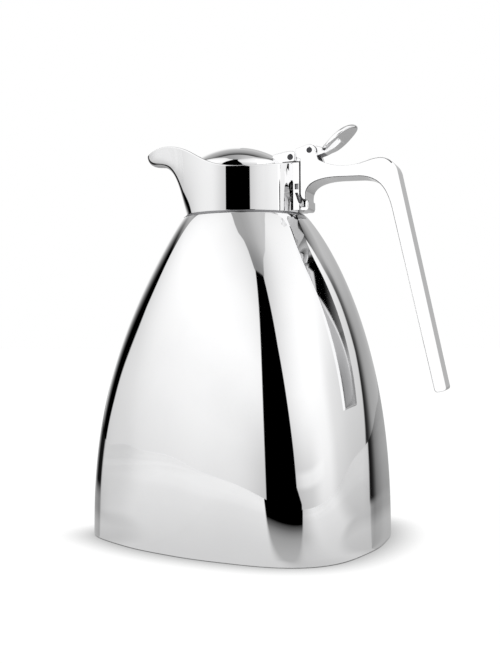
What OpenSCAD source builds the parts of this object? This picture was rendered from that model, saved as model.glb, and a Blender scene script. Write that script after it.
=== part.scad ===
// Double-walled coffee pot with a thumb-lever lid.
// +X points to the handle, -X to the spout, +Z is up. The origin lies on the neck's axis,
// in the plane that the foot stands on. All lengths are in millimetres.

/* [Body] */
// Height of the seam between the shell and the collar
body_h = 167.4; // [150:0.2:185]
// Mean radius of the foot
base_r = 76; // [73:0.5:82]
// Radius of the round shoulder at the seam
shoulder_r = 31; // [30.4:0.1:32]
// How far the foot's middle lies towards the handle
base_shift = 5.4; // [3:0.2:8]
// Thickness of the shell
shell_wall = 1; // [0.8:0.1:1.4]

/* [Base plate] */
// Thickness of the base plate
plate_t = 0.8; // [0.6:0.1:1.2]
// Width of the flat ring that the pot stands on
foot_w = 9.4; // [7:0.2:12]
// Height of the plate's raised middle
plate_rise = 2.8; // [2.4:0.1:3.6]
// Radius of the cap over the evacuation point
cap_r = 9; // [7:0.5:12]

/* [Flask] */
// Outer radius of the flask's neck
flask_neck_r = 26; // [25.4:0.1:26.2]
// Thickness of the flask
flask_wall = 0.8; // [0.6:0.1:1]
// Smallest gap between the flask and the shell
flask_gap = 6; // [4:0.5:9]
// Height of the flask's lip above the seam
flask_lip_h = 8.6; // [8:0.1:9.2]
// Radius of the getter tablet
getter_r = 6; // [4:0.5:9]

/* [Collar and spout] */
// Outer radius of the collar
collar_r = 30; // [29.6:0.1:30.4]
// Thickness of the collar
collar_wall = 1.2; // [1:0.1:1.4]
// Height of the rim above the seam at the collar's sides
rim_side_h = 22.7; // [21.5:0.1:24]
// Height of the rim above the seam behind the lid
rim_back_h = 25.6; // [24.6:0.1:25.8]
// Height of the lip above the seam
lip_h = 38.3; // [35:0.1:41]
// Reach of the spout from the neck's axis
spout_reach = 53.4; // [50:0.2:58]

/* [Lid] */
// Gap between the lid's rim and the collar at the sides
lid_gap = 3.6; // [3.2:0.1:4]
// Height of the dome's top above the seam
dome_top_h = 35.3; // [34.6:0.1:36.5]
// Radius of curvature of the dome
dome_curve_r = 40.3; // [37:0.1:44]
// Radius of the dome's rounded edge
dome_edge_r = 4.5; // [4:0.1:5]
// Thickness of the dome
dome_wall = 0.8; // [0.6:0.1:1]
// Radius of the plug
plug_r = 21.2; // [20.6:0.1:21.6]

/* [Hinge] */
// Radius of the hinge pin
pin_r = 1.5; // [1.2:0.1:1.8]
// Radius of the link pin
link_r = 1.3; // [1:0.1:1.5]
// Radial play of a pin in the piece that turns on it
pin_play = 0.05; // [0.02:0.01:0.09]
// Height of the hinge pin above the seam
hinge_h = 31.5; // [31.2:0.1:32]
// Height of the link pin above the seam
link_h = 28.6; // [28.4:0.1:29]
// Length of the oval thumb paddle
paddle_l = 22; // [20:0.5:24]
// Width of the oval thumb paddle
paddle_w = 27; // [22:0.5:30]
// Thickness of the thumb paddle
paddle_t = 2.2; // [1.6:0.1:2.6]

/* [Handle] */
// Width of the handle
handle_w = 20; // [19:0.5:24]
// Gap between the hinge cheeks
cheek_gap = 12; // [11.6:0.1:12.6]
// Thickness of the grip
grip_t = 6.4; // [5.5:0.1:8]
// Length of the straight grip
grip_l = 112; // [90:1:120]
// Lean of the grip from the vertical, in degrees
grip_lean = 12.2; // [10:0.1:14]
// Reach of the handle's arm from the root to the outer bend
arm_reach = 50.2; // [48:0.1:56]
// Thickness of the bracket between the collar and the handle's root
bracket_t = 1.2; // [1:0.1:1.8]

/* [Hidden] */

$fn = 96;
eps = 0.01;       // overlap that makes a cut clean
fit = 0.05;       // gap between pieces that are pushed together
through = body_h; // length of a cut that goes right through a piece
seam_z = body_h;  // every piece of the top is placed from the seam

// ---- curves ----

// Point at t on the cubic curve with end points a and d and control points b and c
function cubic(a, b, c, d, t) =
    pow(1 - t, 3) * a + 3 * pow(1 - t, 2) * t * b + 3 * (1 - t) * t * t * c + t * t * t * d;
// Points along that curve, without its first one
function cubic_path(a, b, c, d, steps) = [for (i = [1:steps]) cubic(a, b, c, d, i / steps)];
// Points of an arc about c from angle a0 to a1
function arc(c, r, a0, a1, steps) =
    [for (i = [0:steps]) let (a = a0 + (a1 - a0) * i / steps) c + r * [cos(a), sin(a)]];

// Closed skin through rings of points: the first ring follows the last, as on a tube with a wall
module ring_skin(rings) {
    n = len(rings[0]);
    k = len(rings);
    polyhedron(
        points = [for (ring = rings) each ring],
        faces = [for (j = [0:k - 1], i = [0:n - 1])
                 let (i2 = (i + 1) % n, j2 = (j + 1) % k)
                 [j * n + i, j2 * n + i, j2 * n + i2, j * n + i2]]);
}

// Solid plate whose outline lies in the X-Z plane, from y0 to y1
module side_plate(outline, y0, y1) {
    translate([0, y1, 0]) rotate([90, 0, 0]) linear_extrude(y1 - y0) polygon(outline);
}

// Cylinder along Y through the point at (x, z), from y0 to y1
module cross_cyl(at, r, y0, y1) {
    translate([at[0], y1, at[1]]) rotate([90, 0, 0]) cylinder(r = r, h = y1 - y0);
}

// ---- body: round at the shoulder, a rounded triangle with its point to the spout at the foot ----

segments = 72;
shell_rings = 16;
corner_push = 0.13;    // shares of base_r: how far the corners stand out,
corner_round = 0.028;  // how broad they are,
corner_crisp = 0.008;  // and how crisp
side_power = 2.35;     // how long the side stays upright above the foot
side_fall = 0.9;       // how steeply it meets the shoulder
corner_fade = 1.7;     // how soon the corners fade out upwards

// Share of the foot's size that is left at height z: 1 at the foot, 0 at the seam
function swell(z) = pow(max(0, 1 - pow(max(0, z / seam_z), side_power)), side_fall);
function corner_wave(a) = -corner_push * cos(3 * a) + corner_round * cos(6 * a) - corner_crisp * cos(9 * a);
function body_r(a, z) =
    shoulder_r + (base_r - shoulder_r) * swell(z) + base_r * corner_wave(a) * pow(swell(z), corner_fade);
// Section of the body at height z, taken in by inset
function body_ring(z, inset) =
    [for (i = [0:segments - 1])
     let (a = 360 * i / segments, r = body_r(a, z) - inset) [base_shift * swell(z) + r * cos(a), r * sin(a)]];
function lift(ring, z) = [for (p = ring) [p[0], p[1], z]];

ring_t = 1;  // thickness of the neck ring's plate, which closes the shell at the seam

// Heights of the shell's rings, closer together towards the shoulder
function shell_z(i) =
    let (s = i / shell_rings) plate_t + (seam_z - ring_t - plate_t) * (1 - pow(1 - s, 1.4));

module outer_shell() {
    color([0.82, 0.83, 0.84])
    ring_skin(concat(
        [for (i = [0:shell_rings]) lift(body_ring(shell_z(i), 0), shell_z(i))],
        [for (i = [shell_rings:-1:0]) lift(body_ring(shell_z(i), shell_wall), shell_z(i))]));
}

// Pressed plate: a flat foot ring, a step, and a raised middle
edge_inset = 0.6;  // the plate's edge lies this far inside the shell's outer face
step_inset = edge_inset + foot_w;
port_r = 1.5;      // hole through which the air is drawn out

module base_plate() {
    color([0.75, 0.76, 0.77])
    difference() {
        linear_extrude(plate_rise + plate_t) polygon(body_ring(0, edge_inset));
        translate([0, 0, -eps]) linear_extrude(plate_rise + eps) polygon(body_ring(0, step_inset));
        translate([0, 0, plate_t]) linear_extrude(plate_rise + plate_t) difference() {
            polygon(body_ring(0, -1));
            polygon(body_ring(0, step_inset - plate_t));
        }
        cylinder(r = port_r, h = 3 * (plate_rise + plate_t), center = true);
    }
}

// The cap fills the plate's recess around the evacuation point, flush with the foot
module seal_cap() {
    color([0.2, 0.2, 0.21])
    cylinder(r = cap_r, h = plate_rise);
}

// ---- flask: a round bottle that hangs from its neck, with the vacuum around it ----

flat_r = base_r * (1 + corner_wave(0)) - base_shift / 2;  // nearest flat of the foot to the neck's axis
flask_r = flat_r - shell_wall - flask_gap;
flask_top_z = seam_z - 4.4;     // where the flask's side turns into its neck
flask_lip_z = seam_z + flask_lip_h;
flask_split_z = 22;             // weld between the flask's side and its bottom
flask_floor_z = plate_rise + plate_t + 4.4;
flask_corner_r = 12;
flask_steps = 24;
flask_dish = 5;                 // how far the bottom's middle is pressed in
dish_reach = 0.45;              // share of the bottom's radius where its slope changes,
dish_share = 0.6;               // and the share of the dish's height that is reached there

function flask_r_at(z) =
    flask_neck_r + (flask_r - flask_neck_r) * pow(max(0, 1 - pow(z / flask_top_z, side_power)), side_fall);
function flask_side(inset) =
    [for (i = [0:flask_steps])
     let (z = flask_split_z + (flask_top_z - flask_split_z) * i / flask_steps) [flask_r_at(z) - inset, z]];

module inner_flask() {
    color([0.7, 0.7, 0.72])
    rotate_extrude() polygon(concat(
        flask_side(0), [[flask_neck_r, flask_lip_z], [flask_neck_r - flask_wall, flask_lip_z]],
        [for (i = [flask_steps:-1:0]) flask_side(flask_wall)[i]]));
}

// Outline of the flask's bottom: a rounded corner and a middle pressed in, from the weld to the axis
function bottom_side(inset) =
    let (r = flask_r_at(flask_split_z), c = [r - flask_corner_r, flask_floor_z + flask_corner_r])
    concat([[r - inset, flask_split_z]], arc(c, flask_corner_r - inset, 0, -90, 8),
           [[r * dish_reach, flask_floor_z + inset + flask_dish * dish_share],
            [0, flask_floor_z + inset + flask_dish]]);

module flask_bottom() {
    outer = bottom_side(0);
    inner = bottom_side(flask_wall);
    color([0.66, 0.66, 0.68])
    rotate_extrude() polygon(concat(outer, [for (i = [len(inner) - 1:-1:0]) inner[i]]));
}

// The tablet's rim lies against the slope of the pressed-in bottom
getter_t = 2;
getter_top_z = flask_floor_z
    + flask_dish * (1 - (1 - dish_share) * getter_r / (dish_reach * flask_r_at(flask_split_z))) - fit;
module getter() {
    color([0.35, 0.33, 0.3])
    translate([0, 0, getter_top_z - getter_t]) cylinder(r = getter_r, h = getter_t);
}

spigot_h = 3;  // the neck ring's collar, which steadies the shell from inside
spigot_t = 1.4;
module neck_ring() {
    spigot_r = shoulder_r - shell_wall - 0.3;
    color([0.72, 0.73, 0.74])
    difference() {
        union() {
            translate([0, 0, seam_z - ring_t])
                cylinder(r1 = body_r(0, seam_z - ring_t), r2 = shoulder_r, h = ring_t);
            translate([0, 0, seam_z - ring_t - spigot_h]) cylinder(r = spigot_r, h = spigot_h + eps);
        }
        translate([0, 0, seam_z - ring_t - spigot_h - eps])
            cylinder(r = spigot_r - spigot_t, h = spigot_h + eps);
        cylinder(r = flask_neck_r + fit, h = 2 * seam_z);
    }
}

// ---- collar: a round wall whose rim sweeps up into a rolled lip ----

collar_bore = collar_r - collar_wall;
throat_steps = 9;
lip_steps = 8;
bore_steps = 10;
lip_r = 5.7;            // height of the rolled lip, halved
lip_mid_x = spout_reach - 6.8;
spout_spread = 24;      // angle in degrees over which the spout widens into the collar
spout_power = 1.7;

// Share of the spout at angle a from the spout's own direction
function spout_share(a) = exp(-pow(abs(a) / spout_spread, spout_power));
// Height of the rim above the seam: highest at the lip, lowest at the sides
function rim_h(a) =
    let (side = abs(a))
    side < 100 ? rim_side_h + (lip_h - rim_side_h) * pow(cos(0.9 * side), 2.4)
               : min(rim_back_h, rim_side_h + 4.4 * pow(sin(0.9 * (side - 100)), 2));

// Outer and inner outlines of the spout, as [reach, height above the seam]
spout_outer = concat(
    [[collar_r + 0.4, 0]],
    cubic_path([collar_r + 0.4, 0], [collar_r + 3.8, 6.6], [collar_r + 2.2, lip_h - 2 * lip_r - 0.5],
               [lip_mid_x, lip_h - 2 * lip_r], throat_steps),
    [for (i = [1:lip_steps])
     let (a = -90 + 180 * i / lip_steps)
     [lip_mid_x + (spout_reach - lip_mid_x) * cos(a), lip_h - lip_r + lip_r * sin(a)]]);
spout_inner = concat(
    [[collar_bore, 0]],
    cubic_path([collar_bore, 0], [collar_bore + 2.6, 14], [collar_bore + 2, lip_h - 11],
               [lip_mid_x - 1, lip_h - 0.1], bore_steps));

// Ring of the collar for one point of the spout's outline
function collar_ring(point, top, r) =
    [for (i = [0:segments - 1])
     let (a = 360 * i / segments, side = 180 - a, reach = r + spout_share(side) * (point[0] - r))
     [reach * cos(a), reach * sin(a), seam_z + rim_h(side) * point[1] / top]];

module collar_spout() {
    color([0.84, 0.85, 0.86])
    ring_skin(concat(
        [for (p = spout_outer) collar_ring(p, lip_h, collar_r)],
        [for (i = [bore_steps:-1:0]) collar_ring(spout_inner[i], lip_h - 0.1, collar_bore)]));
}

// ---- seat: an insulating ring in the collar that clamps the gasket and carries the lid's seal ----

gasket_t = 1.2;
seat_shelf_z = flask_lip_z + gasket_t;
seat_cone_z = seat_shelf_z + 1.8;
seat_top_z = seam_z + 15.6;
seat_r0 = flask_neck_r - 1.8;
seat_r1 = collar_bore - 1.2;

module neck_gasket() {
    color([0.2, 0.2, 0.21])
    translate([0, 0, flask_lip_z]) difference() {
        cylinder(r = flask_neck_r, h = gasket_t);
        translate([0, 0, -eps]) cylinder(r = seat_r0 + 0.4, h = gasket_t + 2 * eps);
    }
}

module seat_ring() {
    outer_r = collar_bore - 2 * fit;
    color([0.12, 0.12, 0.13])
    rotate_extrude() polygon([
        [flask_neck_r + fit, seam_z], [outer_r, seam_z], [outer_r, seat_top_z], [seat_r1, seat_top_z],
        [seat_r0, seat_cone_z], [seat_r0, seat_shelf_z], [flask_neck_r + fit, seat_shelf_z]]);
}

// ---- handle: bracket on the collar, and one casting with root, arm, grip and hinge cheeks ----

root_x = collar_r + bracket_t;      // the bracket's back, which the handle's root lies against
hinge = [root_x + 5.2, seam_z + hinge_h];
link = [hinge[0] - 10.4, seam_z + link_h];
bracket_w = handle_w + 1;
bracket_z0 = seam_z + 1.2;
bracket_z1 = seam_z + 25.4;
lug_x1 = root_x + 4.4;              // lower lug with the groove for the handle's toe
lug_z1 = seam_z + 6.2;
lug_w = 16;
toe_t = 1.8;
groove_w = toe_t + 0.9;
groove_z0 = lug_z1 - 3.4;
tenon_x1 = root_x + 5.4;            // block that enters the handle's root and takes the screw
tenon_w = 8;
tenon_z0 = seam_z + 17;
tenon_z1 = seam_z + 22.4;
dimple = [collar_r - 0.1, seam_z + 13.9];
screw_x = root_x + 2.8;
screw_r = 1.5;
screw_head_r = 2.8;
screw_head_h = 1.6;

module handle_bracket() {
    color([0.8, 0.81, 0.82])
    difference() {
        union() {
            translate([0, -bracket_w / 2, bracket_z0]) cube([root_x, bracket_w, bracket_z1 - bracket_z0]);
            translate([root_x - eps, -lug_w / 2, bracket_z0])
                cube([lug_x1 - root_x + eps, lug_w, lug_z1 - bracket_z0]);
            translate([root_x - eps, -tenon_w / 2, tenon_z0])
                cube([tenon_x1 - root_x + eps, tenon_w, tenon_z1 - tenon_z0]);
        }
        cylinder(r = collar_r + 0.02, h = 2 * seam_z);
        translate([root_x, -lug_w / 2 - eps, groove_z0])
            cube([groove_w, lug_w + 2 * eps, lug_z1 - groove_z0 + eps]);
        translate([screw_x, 0, tenon_z0 + 0.6]) cylinder(r = screw_r + fit, h = tenon_z1);
        for (side = [-1, 1])
            cross_cyl(dimple, 0.9, side * bracket_w / 2 - 0.8, side * bracket_w / 2 + 0.8);
    }
}

// Outline of the handle from the side. Heights are from the seam, reaches from the root's face.
function from_root(x, h) = [root_x + x, seam_z + h];
bend_r = 9;                          // radius of the outer bend
arm_top_h = 23;                      // lowest point of the arm's top
arm_under_h = 17.3;                  // underside of the arm
hump_h = 26.4;                       // top of the hump over the bend
cheek_r = 3;                         // rounded top of the cheeks, around the hinge pin
grip_dir = [sin(grip_lean), -cos(grip_lean)];
grip_out = [cos(grip_lean), sin(grip_lean)];
bend_mid = from_root(arm_reach - bend_r, hump_h - bend_r);
grip_top = bend_mid + bend_r * grip_out;             // start of the grip's outer edge
grip_tip = grip_top + grip_l * grip_dir;
under_top = grip_top + 20 * grip_dir - grip_t * 1.06 * grip_out;  // where the inner bend begins
tip_r = 1.6;
tip_out = grip_tip - tip_r * grip_out - tip_r * grip_dir;
tip_in = grip_tip - (grip_t * 0.94 - tip_r) * grip_out - tip_r * grip_dir;

handle_outline = concat(
    [from_root(0, 6.4), from_root(0, 27.2), from_root(-1.6, 27.9), from_root(-1.8, 32.4)],
    arc(hinge, cheek_r, 105, -12, 10),
    [from_root(9.6, 26.6)],
    cubic_path(from_root(9.6, 26.6), from_root(12.3, 24.9), from_root(16.8, arm_top_h),
               from_root(23.3, arm_top_h), 8),
    cubic_path(from_root(23.3, arm_top_h), from_root(31.8, arm_top_h), bend_mid + [-6, bend_r],
               bend_mid + [0, bend_r], 10),
    arc(bend_mid, bend_r, 82, grip_lean, 8),
    arc(tip_out, tip_r, grip_lean, grip_lean - 90, 4),
    arc(tip_in, tip_r, grip_lean - 90, grip_lean - 180, 4),
    [under_top],
    cubic_path(under_top, under_top - 12 * grip_dir, from_root(arm_reach - 9, arm_under_h + 0.2),
               from_root(arm_reach - 21.4, arm_under_h), 12),
    [from_root(20.8, arm_under_h)],
    cubic_path(from_root(20.8, arm_under_h), from_root(6.8, arm_under_h), from_root(2.4, 13.1),
               from_root(toe_t, 6.4), 12));

floor_z = seam_z + 25.4;  // floor of the slot between the cheeks

module handle() {
    color([0.85, 0.86, 0.87])
    difference() {
        union() {
            side_plate(handle_outline, -handle_w / 2, handle_w / 2);
            translate([root_x + fit, -lug_w / 2, groove_z0 + 0.4])
                cube([toe_t - fit, lug_w, lug_z1 - groove_z0 + 0.2]);
        }
        translate([root_x - 5, -cheek_gap / 2, floor_z]) cube([arm_reach / 2, cheek_gap, through]);
        translate([root_x - eps, -tenon_w / 2 - fit, tenon_z0 - fit])
            cube([tenon_x1 - root_x + eps + fit, tenon_w + 2 * fit, tenon_z1 - tenon_z0 + 2 * fit]);
        translate([screw_x, 0, tenon_z1]) cylinder(r = screw_r + fit, h = through);
        translate([screw_x, 0, floor_z - screw_head_h]) cylinder(r = screw_head_r + fit, h = through);
        cross_cyl(hinge, pin_r + fit / 5, -handle_w, handle_w);
    }
}

module handle_screw() {
    slot_w = 0.8;
    color([0.7, 0.7, 0.72])
    difference() {
        union() {
            translate([screw_x, 0, tenon_z0 + 1]) cylinder(r = screw_r, h = floor_z - tenon_z0 - 1);
            translate([screw_x, 0, floor_z - screw_head_h]) cylinder(r = screw_head_r, h = screw_head_h);
        }
        translate([screw_x - screw_head_r - 1, -slot_w / 2, floor_z - 0.7])
            cube([2 * screw_head_r + 2, slot_w, 1]);
    }
}

// ---- hinge: pin, washers, and the lever whose nose carries the lid ----

pin_recess = 0.4;
washer_t = 0.5;
hub_r = 3.6;
hub_w = cheek_gap - 2 * washer_t - 0.2;
nose_w = 9.2;
nose_r = 2.4;

module hinge_pin() {
    color([0.3, 0.3, 0.32])
    cross_cyl(hinge, pin_r, -handle_w / 2 + pin_recess, handle_w / 2 - pin_recess);
}

module hinge_washers() {
    color([0.15, 0.15, 0.16])
    for (side = [-1, 1]) {
        mid = side * (cheek_gap / 2 - washer_t / 2 - 0.05);
        difference() {
            cross_cyl(hinge, hub_r - 0.4, mid - washer_t / 2, mid + washer_t / 2);
            cross_cyl(hinge, pin_r + pin_play, mid - 1, mid + 1);
        }
    }
}

// The paddle is an oval cut from a curved strip that rises away from the hinge
paddle_angle = 41;
paddle_dir = [cos(paddle_angle), sin(paddle_angle)];
paddle_up = [-sin(paddle_angle), cos(paddle_angle)];
paddle_tip = hinge + [22.9, 12.4];
paddle_mid = paddle_tip - paddle_l / 2 * paddle_dir;
strip_steps = 10;
strip_0 = hinge + [5.6, 0.4];
strip_1 = hinge + [11, 1.8];
strip_2 = hinge + [16.2, 10];
strip_3 = hinge + [24, 13.2];
// Point on one face of the strip: side is -1 below and 1 above its middle line
function strip_point(i, side) =
    cubic(strip_0, strip_1, strip_2, strip_3, i / strip_steps) + side * paddle_t / 2 * paddle_up;
strip_outline = concat([for (i = [0:strip_steps]) strip_point(i, -1)],
                       [for (i = [strip_steps:-1:0]) strip_point(i, 1)]);
rib_t = 1.4;        // rib under the paddle
rib_end = 0.62;     // share of the strip that the rib runs along

module thumb_lever() {
    rib_steps = floor(strip_steps * rib_end);
    color([0.84, 0.85, 0.86])
    difference() {
        union() {
            cross_cyl(hinge, hub_r, -hub_w / 2, hub_w / 2);
            cross_cyl(link, nose_r, -nose_w / 2, nose_w / 2);
            side_plate([link + [0, -nose_r], hinge + [0, -hub_r], hinge + [0, hub_r], link + [0, nose_r]],
                       -nose_w / 2, nose_w / 2);
            side_plate(concat(
                [hinge + [0, hub_r - 0.1], hinge + [1, -hub_r + 0.4], hinge + [7, -1.2]],
                [for (i = [3:rib_steps]) strip_point(i, -1) - rib_t * paddle_up],
                [for (i = [rib_steps:-1:1]) strip_point(i, 1) - 0.2 * paddle_up]), -nose_w / 2, nose_w / 2);
            intersection() {
                side_plate(strip_outline, -paddle_w, paddle_w);
                translate([paddle_mid[0], 0, paddle_mid[1]]) rotate([0, -paddle_angle, 0])
                    linear_extrude(through, center = true) polygon(
                        [for (a = [0:5:355]) [paddle_l / 2 * cos(a), paddle_w / 2 * sin(a)]]);
            }
        }
        cross_cyl(hinge, pin_r + pin_play, -handle_w, handle_w);
        cross_cyl(link, link_r + pin_play, -handle_w, handle_w);
    }
}

// ---- lid: a steel dome on an insulated plug, hung from the lever's nose by a forked arm ----

lid_x = -lid_gap;                       // the dome lies this far towards the spout
lid_r = collar_bore - lid_gap;
dome_top_z = seam_z + dome_top_h;
dome_mid_z = dome_top_z - dome_curve_r;
skirt_z = seam_z + 22.2;
core_top_z = seam_z + 24;
plug_z0 = seam_z + 5.6;
plug_z1 = seam_z + 20.8;
arm_w = 16;
fork_gap = nose_w + 0.6;
rivet_at = [18.2, 5];
rivet_r = 1.1;
lid_screw_r = 2;
boss_hole_h = 6;   // depth of the screw's hole in the boss under the dome

// Half of the dome's outline, taken in by inset: crown, rounded edge and skirt
function dome_side(inset) =
    let (edge_x = lid_r - dome_edge_r, far = dome_curve_r - dome_edge_r,
         edge_z = dome_mid_z + sqrt(far * far - edge_x * edge_x), turn = atan2(edge_z - dome_mid_z, edge_x))
    concat(arc([0, dome_mid_z], dome_curve_r - inset, 90, turn, 10),
           arc([edge_x, edge_z], dome_edge_r - inset, turn, 0, 6), [[lid_r - inset, skirt_z]]);

module dome_solid(inset, z0) {
    translate([lid_x, 0, 0]) rotate_extrude() polygon(concat(
        dome_side(inset), [[lid_r - inset, z0], [0, z0]]));
}

module lid_dome() {
    inner = dome_side(dome_wall);
    boss_r = lid_screw_r + 2;
    color([0.86, 0.87, 0.88])
    difference() {
        union() {
            translate([lid_x, 0, 0]) rotate_extrude() polygon(concat(
                dome_side(0), [for (i = [len(inner) - 1:-1:0]) inner[i]]));
            translate([0, 0, core_top_z])
                cylinder(r = boss_r, h = dome_top_z - dome_wall * 1.4 - core_top_z);
        }
        translate([0, 0, core_top_z - 1]) cylinder(r = lid_screw_r + fit, h = boss_hole_h + 1);
        for (side = [-1, 1])
            translate([rivet_at[0], side * rivet_at[1], skirt_z]) cylinder(r = rivet_r + fit, h = through);
    }
}

arm_right_x = link[0] + 2.5;
arm_outline = concat(
    [[lid_r + lid_x - 6.4, seam_z + 24], [lid_r + lid_x - 4.9, seam_z + 29.2],
     [lid_r + lid_x - 4.0, seam_z + 30.1], [link[0] - 2.5, link[1] + 2.9]],
    arc([arm_right_x - 1.6, link[1] + 1.5], 1.6, 90, 0, 4),
    arc([arm_right_x - 1.6, link[1] - 0.9], 1.6, 0, -90, 4),
    [[lid_r + lid_x + 0.6, link[1] - 2.5], [lid_r + lid_x + 0.6, seam_z + 24]]);

module lid_arm() {
    color([0.84, 0.85, 0.86])
    difference() {
        side_plate(arm_outline, -arm_w / 2, arm_w / 2);
        dome_solid(-fit / 2, seam_z);
        translate([link[0] - nose_r - 1, -fork_gap / 2, seam_z]) cube([through, fork_gap, through]);
        cross_cyl(link, link_r + fit / 5, -arm_w, arm_w);
        for (side = [-1, 1])
            translate([rivet_at[0], side * rivet_at[1], skirt_z]) cylinder(r = rivet_r + fit, h = through);
    }
}

module link_pin() {
    color([0.6, 0.6, 0.62])
    cross_cyl(link, link_r, -arm_w / 2, arm_w / 2);
}

module arm_rivets() {
    head_z = seam_z + 24.4;
    head_h = 1.3;
    color([0.6, 0.6, 0.62])
    for (side = [-1, 1]) translate([rivet_at[0], side * rivet_at[1], head_z]) {
        cylinder(r = 1.6, h = head_h);
        cylinder(r = rivet_r, h = head_h + 3.2);
    }
}

plug_wall = 2.5;
plug_floor = 2;
groove_top_z = seam_z + 15;
groove_h = 2.4;
groove_r = plug_r - 1.2;

module lid_core() {
    color([0.1, 0.1, 0.11])
    difference() {
        union() {
            translate([lid_x, 0, plug_z1])
                cylinder(r = lid_r - dome_wall - 2 * fit, h = core_top_z - plug_z1);
            translate([0, 0, plug_z0]) cylinder(r = plug_r, h = plug_z1 - plug_z0 + eps);
        }
        translate([0, 0, plug_z0 + plug_floor]) cylinder(r = plug_r - plug_wall, h = through);
        translate([0, 0, groove_top_z - groove_h]) difference() {
            cylinder(r = collar_r, h = groove_h);
            cylinder(r = groove_r, h = groove_h);
        }
        cylinder(r = lid_screw_r + fit, h = 2 * seam_z);
    }
}

module lid_insulation() {
    color([0.9, 0.88, 0.8])
    translate([0, 0, plug_z0 + plug_floor]) difference() {
        cylinder(r = plug_r - plug_wall - fit, h = core_top_z - plug_z0 - plug_floor - 0.6);
        translate([0, 0, -eps]) cylinder(r = lid_screw_r + 2 * fit, h = through);
    }
}

// The seal's lip follows the seat's cone at a small distance
seal_gap = 0.42;
function seat_r_at(z) = seat_r0 + (seat_r1 - seat_r0) * (z - seat_cone_z) / (seat_top_z - seat_cone_z);

module lid_seal() {
    z0 = groove_top_z - groove_h + fit;
    z1 = groove_top_z - fit;
    color([0.18, 0.18, 0.19])
    rotate_extrude() polygon([
        [groove_r + fit, z0], [seat_r_at(z0) - seal_gap, z0], [seat_r_at(z1 - 0.4) - seal_gap, z1 - 0.4],
        [seat_r_at(z1 - 0.4) - seal_gap - 0.3, z1], [groove_r + fit, z1]]);
}

bottom_t = 1.2;
bottom_inset = 0.6;  // keeps the plate's edge clear of the seat as the lid swings up
module lid_bottom() {
    color([0.75, 0.76, 0.77])
    translate([0, 0, plug_z0 - bottom_t]) difference() {
        cylinder(r = plug_r - bottom_inset, h = bottom_t);
        translate([0, 0, -eps]) cylinder(r = lid_screw_r + fit, h = bottom_t + 2 * eps);
    }
}

module lid_screw() {
    head_r = 3.8;
    head_h = 1.6;
    slot_w = 1;
    z0 = plug_z0 - bottom_t - head_h;
    color([0.7, 0.7, 0.72])
    difference() {
        union() {
            translate([0, 0, z0]) cylinder(r = head_r, h = head_h);
            translate([0, 0, z0]) cylinder(r = lid_screw_r, h = core_top_z + boss_hole_h - 0.4 - z0);
        }
        translate([-head_r - 1, -slot_w / 2, z0 - eps]) cube([2 * head_r + 2, slot_w, 0.8]);
    }
}

outer_shell();
base_plate();
seal_cap();
inner_flask();
flask_bottom();
getter();
neck_ring();
neck_gasket();
seat_ring();
collar_spout();
handle_bracket();
handle();
handle_screw();
hinge_pin();
hinge_washers();
thumb_lever();
link_pin();
lid_arm();
arm_rivets();
lid_dome();
lid_core();
lid_insulation();
lid_seal();
lid_bottom();
lid_screw();
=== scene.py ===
# %% [markdown]
# # A double-walled coffee pot in polished steel
#
# The pot is drawn from steel sheet and polished until it mirrors the room, so most of what
# is seen on it is the studio around it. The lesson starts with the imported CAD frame, sets up
# the camera and the studio, and then dresses the frame piece by piece.
# Every length is typed in millimetres and turned into metres when a piece is finished.

# %% Load the frame
from math import atan2, cos, degrees, exp, hypot, pi, radians, sin, sqrt, tan

import bmesh
import bpy
from mathutils import Matrix, Vector


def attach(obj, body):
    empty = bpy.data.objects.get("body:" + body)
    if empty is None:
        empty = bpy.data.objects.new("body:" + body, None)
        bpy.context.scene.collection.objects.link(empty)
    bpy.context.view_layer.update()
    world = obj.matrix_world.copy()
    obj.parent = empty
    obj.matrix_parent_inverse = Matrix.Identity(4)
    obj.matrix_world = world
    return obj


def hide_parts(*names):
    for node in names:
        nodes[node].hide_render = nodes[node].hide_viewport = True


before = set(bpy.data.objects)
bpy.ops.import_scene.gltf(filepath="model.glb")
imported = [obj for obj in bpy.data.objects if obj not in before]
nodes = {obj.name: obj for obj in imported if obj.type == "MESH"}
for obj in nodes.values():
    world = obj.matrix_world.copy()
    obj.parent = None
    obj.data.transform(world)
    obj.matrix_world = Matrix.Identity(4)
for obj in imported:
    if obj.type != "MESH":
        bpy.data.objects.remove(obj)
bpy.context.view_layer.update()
MM = 0.001

# %% [markdown]
# ## Camera
#
# The pot is seen a little from the handle's side of square-on, from half its height, through
# a lens long enough to keep the upright lines upright. The camera isn't tilted up or down. It
# could be, to centre the pot, but a tiny shift of the lens keeps the sides from leaning.

# %% Camera
CAMERA_TURN = radians(14.81)      # how far the camera stands round from square-on
CAMERA_FAR = 650                  # from the neck's axis
CAMERA_SIDE = 2.087               # to the right of that axis
CAMERA_HIGH = 108.07
CAMERA_ROLL = -0.0065             # a third of a degree, round the line of sight
LENS, LENS_SHIFT, FILM = 67.54, -0.00358, 36
toward = Vector((sin(CAMERA_TURN), -cos(CAMERA_TURN), 0))
rightward = Vector((cos(CAMERA_TURN), sin(CAMERA_TURN), 0))

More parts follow.
